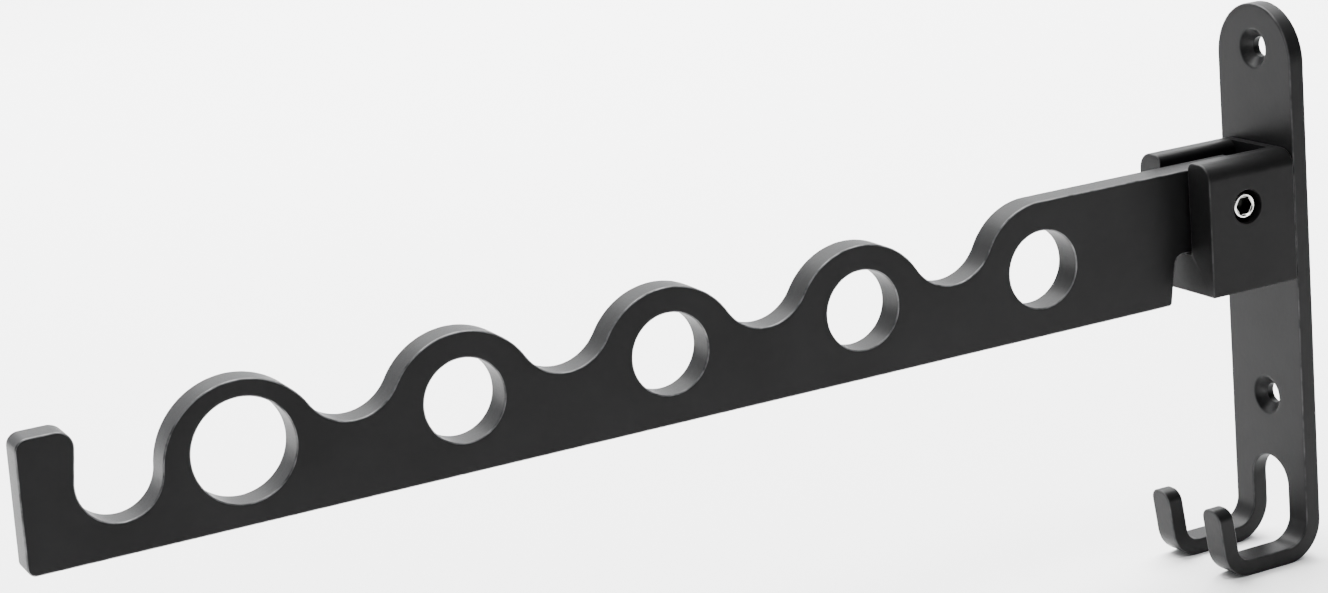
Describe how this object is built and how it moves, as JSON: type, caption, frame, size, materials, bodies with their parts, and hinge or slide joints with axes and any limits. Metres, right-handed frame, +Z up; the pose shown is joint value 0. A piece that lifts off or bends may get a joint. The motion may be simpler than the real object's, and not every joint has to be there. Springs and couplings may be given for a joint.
{
  "type": "folding wall hanger arm",
  "caption": "Flat metal arm with round holes and scalloped hanger dips, hinged in a clevis bracket on a wall plate, with a double hook at the plate's foot.",
  "frame": {"origin": "on the wall face of the back plate, midway between the two wall-screw holes", "axes": "+Z up along the wall, +Y into the wall, so the arm reaches out along -Y; X runs along the hinge axis, and the hinge screw's head is on the +X side"},
  "size_m": [0.03, 0.3453, 0.1515],
  "materials": {
    "black_coat": "black satin coating",
    "bright_steel": "satin",
    "zinc_steel": "satin",
    "black_nylon": "matte"
  },
  "bodies": {
    "wall_plate": {"back_plate": "black_coat", "hinge_bracket": "black_coat", "bracket_screws": "zinc_steel", "hinge_screw": "bright_steel", "hinge_nut": "zinc_steel", "washer_right": "black_nylon", "washer_left": "black_nylon"},
    "arm": {"swing_arm": "black_coat"}
  },
  "joints": [
    {"name": "arm_fold", "type": "hinge", "parent": "wall_plate", "child": "arm", "pos_m": [0, -0.02, 0.01], "axis": [-1, 0, 0], "range_deg": [0, 90]}
  ]
}
